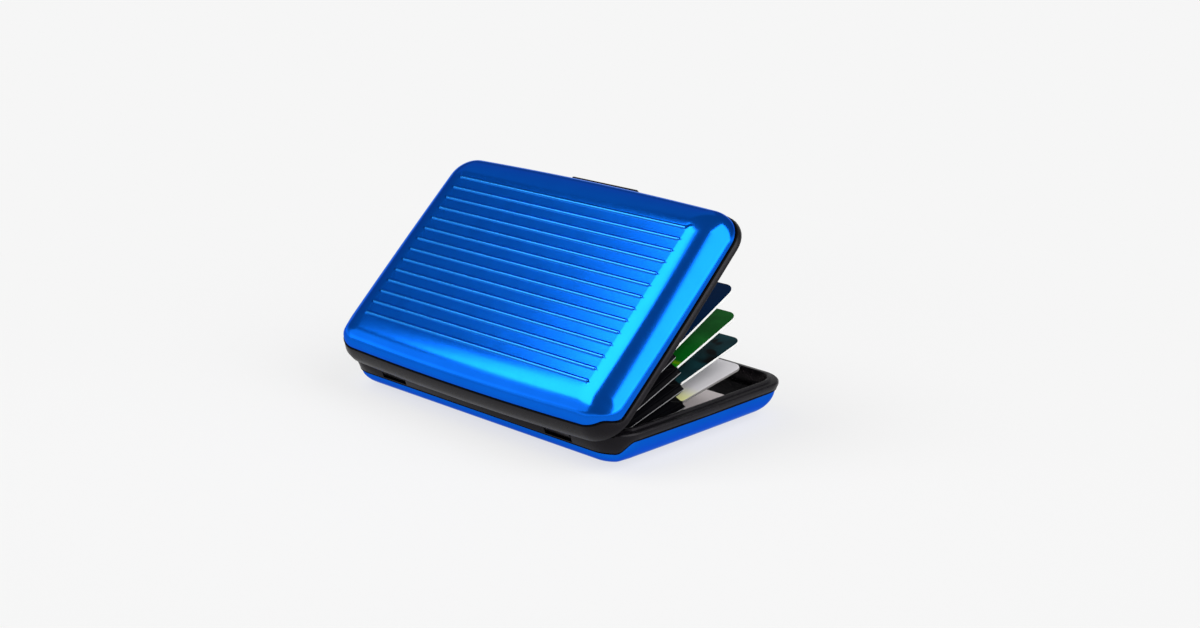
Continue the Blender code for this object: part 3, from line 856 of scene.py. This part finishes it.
mouldings = (
    # node, piece, body, finish, slot, edge radius
    ("base_frame", "baseFrame", "base", "mouldedBlack", "moulded_plastic", 0.00014),
    ("lid_frame", "lidFrame", "lid", "mouldedBlack", "moulded_plastic", 0.00014),
    ("base_liner", "baseLiner", "base", "linerBlack", "liner_plastic", 0.00012),
    ("lid_liner", "lidLiner", "lid", "linerBlack", "liner_plastic", 0.00012),
    ("latch_clasp", "latchClasp", "latch", "claspBlack", "moulded_plastic", 0.00012),
    ("latch_pin", "latchPin", "lid", "springSteel", "steel", 0.00006),
    ("latch_spring", "latchSpring", "lid", "springSteel", "steel", 0.00004),
    ("hinge_pin_left", "hingePinLeft", "base", "springSteel", "steel", 0.00012),
    ("hinge_pin_right", "hingePinRight", "base", "springSteel", "steel", 0.00012),
    ("mounting_pad", "mountingPad", "base", "padFoam", "foam", 0.0002),
)
for node, name, body, finish, slot, width in mouldings:
    piece = roundedCopy(node, name, body, finishes[finish], width)
    print(piece.name, "rounded,", len(piece.data.polygons), "faces")


# The leaves: film pockets, the pleats between them and the cards
leafSizes = {
    "count": 7,
    "angles": (0, 9.0, 14.7, 20.4, 26.1, 31.8, 37.5),
    "firstHeight": -0.00535,
    "pitch": 0.0022,
    "film": 0.00025,
    "filmGap": 0.00025,
    "pocketSheet": 0.00176,
    "halfWidth": 0.0486,
    "root": 0.0044988,
    "rootCut": 0.004,
    "mouth": 0.038,
    "mouthCut": 0.005,
    "weld": 0.001,
    "weldInset": 0.00006,
    "weldStep": 0.0004,
    "weldSink": 0.9,
    "edgeShare": 0.7,
    "cardBack": 0.0064988,
    "cornerRound": 0.0004,
    "cornerSteps": 4,
    "backRound": 0.00004,
    "frontRound": 0.00005,
    "mouthRuns": ((0.005, 0.0022), (0.015, 0.005)),
    "frontDraw": 0.0011,
    "backDraw": 0.0002,
}
cardSizes = {
    "width": 0.0856,
    "depth": 0.054,
    "thickness": 0.00076,
    "corner": 0.00318,
    "cornerSteps": 10,
    "edgeRound": 0.00012,
    "offset": 0.0042,
    "slack": 0.003,
    "slackShares": (1.0, 0.07, 0.2, 0.3, 0.97, 0.5, 0.4),
}
pleatSizes = {
    "inset": 0.0003,
    "film": 0.0003,
    "reach": 0.004,
    "notch": 0.0007,
    "start": 0.0089988,
    "end": 0.0325,
    "rings": 12,
    "steps": 7,
    "curl": 1.15,
    "mouthDraw": 0.0036,
    "drawRise": 3,
    "followRadius": 0.024,
    "firstFollowRadius": 0.0285,
    "topRoom": 0.0021,
    "topSheet": 0.0005,
    "topCrease": 0.06,
    "topFold": (0.7, 0.3),
    "topRound": 0.00006,
}


def leafHeight(number):
    return leafSizes["firstHeight"] + (number - 1) * leafSizes["pitch"]


def pocketBody(number):
    return "base" if number == 1 else f"pocket_{number}"


def filmOutline(drawn):
    half, root, rootCut = leafSizes["halfWidth"], leafSizes["root"], leafSizes["rootCut"]
    corner = leafSizes["mouth"] - leafSizes["mouthCut"] - drawn
    right = [(half - rootCut, root), (half, root + rootCut), (half, corner)]
    right += [(half - inward, corner + onward) for inward, onward in leafSizes["mouthRuns"]]
    points = right + [(-x, y) for x, y in reversed(right)]
    rounded = []
    for k in range(len(points)):
        before, here, after = (Vector(points[(k + step) % len(points)]) for step in (-1, 0, 1))
        inn = here + (before - here).normalized() * leafSizes["cornerRound"]
        out = here + (after - here).normalized() * leafSizes["cornerRound"]
        for step in range(leafSizes["cornerSteps"] + 1):
            share = step / leafSizes["cornerSteps"]
            rounded.append(inn.lerp(here, share).lerp(here.lerp(out, share), share))
    return rounded


def slabShape(outline, low, high):
    shape = bmesh.new()
    addRings(shape, [[(x, y, z) for x, y in outline] for z in (low, high)])
    bmesh.ops.recalc_face_normals(shape, faces=shape.faces)
    return shape


def finishLeafPiece(shape, name, number, body, materials, width, node):
    shape.normal_update()
    piece = pieceFromShape(name, shape, materials)
    roundEdges(piece, width, "leaf")
    placed(piece, turnedAboutHinge(leafSizes["angles"][number - 1]))
    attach(piece, body)
    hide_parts(node)


# The weld's two outlines, open at the mouth, as right halves and their mirror images
def weldRuns():
    half = leafSizes["halfWidth"] - leafSizes["weldInset"]
    wall = half - leafSizes["weld"]
    edge = leafSizes["mouth"] - leafSizes["frontDraw"] - leafSizes["mouthCut"]
    ramp = edge + leafSizes["weld"]
    rootLine = leafSizes["root"] + leafSizes["weldInset"]
    cut = leafSizes["rootCut"]
    outer = [(wall, ramp), (half, edge), (half, rootLine + cut), (half - cut, rootLine)]
    inner = [(wall, ramp - leafSizes["weldStep"]), (wall, edge), (wall, rootLine + cut),
             (wall - cut / 2, leafSizes["cardBack"])]
    return [right + [(-x, y) for x, y in reversed(right)] for right in (outer, inner)]


def makePocket(number):
    low = leafHeight(number)
    film, top = leafSizes["film"], leafSizes["pocketSheet"]
    weldTop = low + top - film - leafSizes["filmGap"] / 2
    outline = filmOutline(leafSizes["backDraw"])
    body = pocketBody(number)

    # The back film carries a raised weld round three sides
    back = bmesh.new()
    addRings(back, [[(x, y, z) for x, y in outline] for z in (low, low + film)])
    runs = weldRuns()
    (outLow, inLow), (outHigh, inHigh) = [
        [[back.verts.new((x, y, z)) for x, y in run] for run in runs]
        for z in (low + film * leafSizes["weldSink"], weldTop)
    ]
    for k in range(len(outLow) - 1):
        back.faces.new((outLow[k], outLow[k + 1], outHigh[k + 1], outHigh[k]))
        back.faces.new((inLow[k + 1], inLow[k], inHigh[k], inHigh[k + 1]))
        back.faces.new((outHigh[k], outHigh[k + 1], inHigh[k + 1], inHigh[k]))
        back.faces.new((outLow[k + 1], outLow[k], inLow[k], inLow[k + 1]))
    for k in (0, len(outLow) - 1):
        back.faces.new((outLow[k], outHigh[k], inHigh[k], inLow[k]))
    bmesh.ops.recalc_face_normals(back, faces=back.faces)
    # The back film's upright faces low on its sides take a light grey finish, a painted highlight along
    # the cut edge
    edgeTop = low + film * leafSizes["edgeShare"]
    for face in back.faces:
        upright = abs(face.normal.z) < 0.5
        face.material_index = int(upright and face.calc_center_median().z < edgeTop)
    finishLeafPiece(
        back, f"pocket{number}Back", number, body, [finishes["filmBlack"], finishes["filmEdgeHighlight"]],
        leafSizes["backRound"], f"pocket_{number}_back",
    )

    front = slabShape(filmOutline(leafSizes["frontDraw"]), low + top - film, low + top)
    finishLeafPiece(
        front, f"pocket{number}Front", number, body, [finishes["filmBlack"]],
        leafSizes["frontRound"], f"pocket_{number}_front",
    )


# A pleat's folded section, from the leaf below out to the fold and back to the leaf above
def pleatSection(low, high, side):
    steps, film = pleatSizes["steps"], pleatSizes["film"]
    apex = side - pleatSizes["reach"]
    middle = (low + high) / 2
    outward, inward = [], []
    for k in range(2 * steps + 1):
        share = k / steps - 1
        far = abs(share)
        x = apex + (side - apex) * far ** pleatSizes["curl"]
        outerEdge = high - film if share > 0 else low + film
        outward.append((x + pleatSizes["notch"] * (1 - far), mixed(middle, outerEdge, far)))
        inward.append((x, mixed(middle, high if share > 0 else low, far)))
    return outward + inward[::-1]


def makePleats(number):
    angle = leafSizes["angles"][number - 1]
    opening = math.radians(leafSizes["angles"][number] - angle)
    inset, end = pleatSizes["inset"], pleatSizes["end"]
    low = leafHeight(number) + leafSizes["pocketSheet"] + inset
    above = leafHeight(number + 1) / math.cos(opening) - inset
    meeting = (low - above) / math.tan(opening)
    high = above + end * math.tan(opening)
    side = leafSizes["halfWidth"] - inset
    section = pleatSection(low, high, side)

    # The blend runs across the gap between the leaves at one radius from their meeting line
    toWorld = turnedAboutHinge(angle)
    for label, sign in (("Left", -1), ("Right", 1)):
        rings = []
        for k in range(pleatSizes["rings"] + 1):
            step = k / pleatSizes["rings"]
            ring = []
            for x, z in section:
                fold = 1 - abs(2 * (z - low) / (high - low) - 1)
                draw = pleatSizes["mouthDraw"] * min(fold * pleatSizes["drawRise"], 1)
                along = mixed(pleatSizes["start"], end - draw, step)
                share = (along - meeting) / (end - meeting)
                ring.append((sign * mixed(side, x, share), along, mixed(low, z, share)))
            rings.append(ring)
        shape = bmesh.new()
        addRings(shape, rings)
        bmesh.ops.recalc_face_normals(shape, faces=shape.faces)
        piece = pieceFromShape(f"pleat{number}{label}", shape, [finishes["filmBlack"]])
        placed(piece, toWorld)
        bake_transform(piece)
        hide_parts(f"pleat_{number}_{label.lower()}")


# The last pleats ride folded flat on the top pocket
def makeTopPleats():
    number = leafSizes["count"]
    low = leafHeight(number) + leafSizes["pocketSheet"] + pleatSizes["inset"]
    thick = pleatSizes["topSheet"]
    foldHigh, foldLow = pleatSizes["topFold"]
    for label, sign in (("Left", -1), ("Right", 1)):
        off = sign * (leafSizes["halfWidth"] - pleatSizes["topRoom"])
        near = off - sign * pleatSizes["reach"]
        crease = mixed(near, off, pleatSizes["topCrease"])
        section = ((off, 0), (off, 1), (crease, 1), (near, foldHigh), (near, foldLow), (crease, 0))
        shape = bmesh.new()
        addRings(shape, [[(x, along, low + thick * share) for x, share in section]
                         for along in (pleatSizes["start"], pleatSizes["end"])])
        bmesh.ops.recalc_face_normals(shape, faces=shape.faces)
        finishLeafPiece(
            shape, f"pleat{number}{label}", number, pocketBody(number), [finishes["filmBlack"]],
            pleatSizes["topRound"], f"pleat_{number}_{label.lower()}",
        )


# Plain printed fields: colour stops of a flowing pattern, soft bands, and blotches
cardLooks = (
    {"flow": (1.2, 0.3), "stops": ((0.3, (0.80, 0.74, 0.74)), (0.7, (0.90, 0.85, 0.85)))},
    {"flow": (1.6, 0.5), "stops": ((0.3, (0.74, 0.72, 0.75)), (0.7, (0.88, 0.86, 0.89))),
     "core": "greyCore", "bands": ((0.66, 0.50, (0.80, 0.82, 0.30), 0.9),)},
    {"flow": (4.0, 1.5), "stops": ((0.35, (0.006, 0.020, 0.026)), (0.65, (0.007, 0.045, 0.056))),
     "blotch": (11.0, 0.20, 0.36, (0.003, 0.004, 0.005))},
    {"flow": (2.2, 1.2),
     "stops": ((0.3, (0.006, 0.060, 0.010)), (0.5, (0.010, 0.110, 0.018)), (0.7, (0.016, 0.160, 0.026))),
     "bands": ((0.78, 0.57, (0.001, 0.140, 0.008), 0.85), (0.530, 0.508, (0.12, 0.32, 0.002), 0.95),
               (0.504, 0.490, (0.001, 0.24, 0.004), 0.95))},
    {"flow": (1.4, 0.4), "stops": ((0.3, (0.0004, 0.012, 0.050)), (0.7, (0.0006, 0.019, 0.072)))},
    {"flow": (2.0, 0.6), "stops": ((0.3, (0.42, 0.42, 0.44)), (0.7, (0.58, 0.58, 0.60)))},
    {"flow": (1.8, 1.2), "stops": ((0.3, (0.34, 0.03, 0.03)), (0.7, (0.52, 0.07, 0.06)))},
)
printSurface = {
    "sockets": {"Specular IOR Level": 0.025},
    "roughness": (0.3, 0.42), "roughScale": 600.0, "contrast": 0.3,
    "grain": 0.15, "grainScale": 6000.0,
    "blotchWobble": 0.12,
}


def cardFinish(name, look):
    material, tree, surface = newFinish(name, printSurface["sockets"])
    link = tree.links.new
    uv = addNode(tree, "ShaderNodeUVMap", uv_map="card")
    scale, distortion = look["flow"]
    warp = addNode(tree, "ShaderNodeTexNoise", {"Scale": scale, "Detail": 3.0, "Distortion": distortion})
    ramp = addNode(tree, "ShaderNodeValToRGB")
    stops = look["stops"]
    while len(ramp.color_ramp.elements) < len(stops):
        ramp.color_ramp.elements.new(0.5)
    for element, (position, color) in zip(ramp.color_ramp.elements, stops):
        element.position = position
        element.color = (*color, 1)
    link(uv.outputs["UV"], warp.inputs["Vector"])
    link(warp.outputs["Fac"], ramp.inputs["Fac"])
    color = ramp.outputs["Color"]
    split = addNode(tree, "ShaderNodeSeparateXYZ")
    link(uv.outputs["UV"], split.inputs["Vector"])
    for start, stop, tone, strength in look.get("bands", ()):
        factor = addRamp(tree, split.outputs["Y"], start, stop, 0.0, strength)
        color = addTone(tree, color, tone, factor)
    if "blotch" in look:
        blotchScale, edge, clear, tone = look["blotch"]
        settings = {"Scale": blotchScale, "Randomness": 1.0}
        spots = addNode(tree, "ShaderNodeTexVoronoi", settings, feature="SMOOTH_F1")
        wobble = addNode(tree, "ShaderNodeMix", data_type="RGBA")
        wobble.inputs["Factor"].default_value = printSurface["blotchWobble"]
        link(uv.outputs["UV"], wobble.inputs["A"])
        link(warp.outputs["Color"], wobble.inputs["B"])
        link(wobble.outputs["Result"], spots.inputs["Vector"])
        factor = addRamp(tree, spots.outputs["Distance"], edge, clear, 1.0, 0.0)
        color = addTone(tree, color, tone, factor)
    dressSurface(tree, surface, color, printSurface)
    return material


def makeCard(number):
    low = leafHeight(number) + leafSizes["film"] + leafSizes["filmGap"]
    width, depth, corner = cardSizes["width"], cardSizes["depth"], cardSizes["corner"]
    back = leafSizes["cardBack"] + cardSizes["slackShares"][number - 1] * cardSizes["slack"]
    outline = []
    for quarter, (signX, signY) in enumerate(quarters):
        for step in range(cardSizes["cornerSteps"] + 1):
            turn = math.pi / 2 * (quarter + step / cardSizes["cornerSteps"])
            x = signX * (width / 2 - corner) + corner * math.cos(turn)
            y = signY * (depth / 2 - corner) + corner * math.sin(turn)
            outline.append((x + cardSizes["offset"], y + back + depth / 2))
    shape = slabShape(outline, low, low + cardSizes["thickness"])
    layer = shape.loops.layers.uv.new("card")
    for face in shape.faces:
        face.material_index = int(abs(face.normal.z) < 0.5)
        for loop in face.loops:
            x, y, _ = loop.vert.co
            loop[layer].uv = ((x - cardSizes["offset"]) / width + 0.5, (y - back) / depth)
    look = cardLooks[number - 1]
    materials = [cardFinish(f"card{number}Print", look), finishes[look.get("core", "cardCore")]]
    finishLeafPiece(
        shape, f"card{number}", number, f"card_{number}", materials,
        cardSizes["edgeRound"], f"card_{number}",
    )


for number in range(1, leafSizes["count"] + 1):
    makePocket(number)
    makeCard(number)
    if number < leafSizes["count"]:
        makePleats(number)
makeTopPleats()
print("pockets, cards and pleats made")
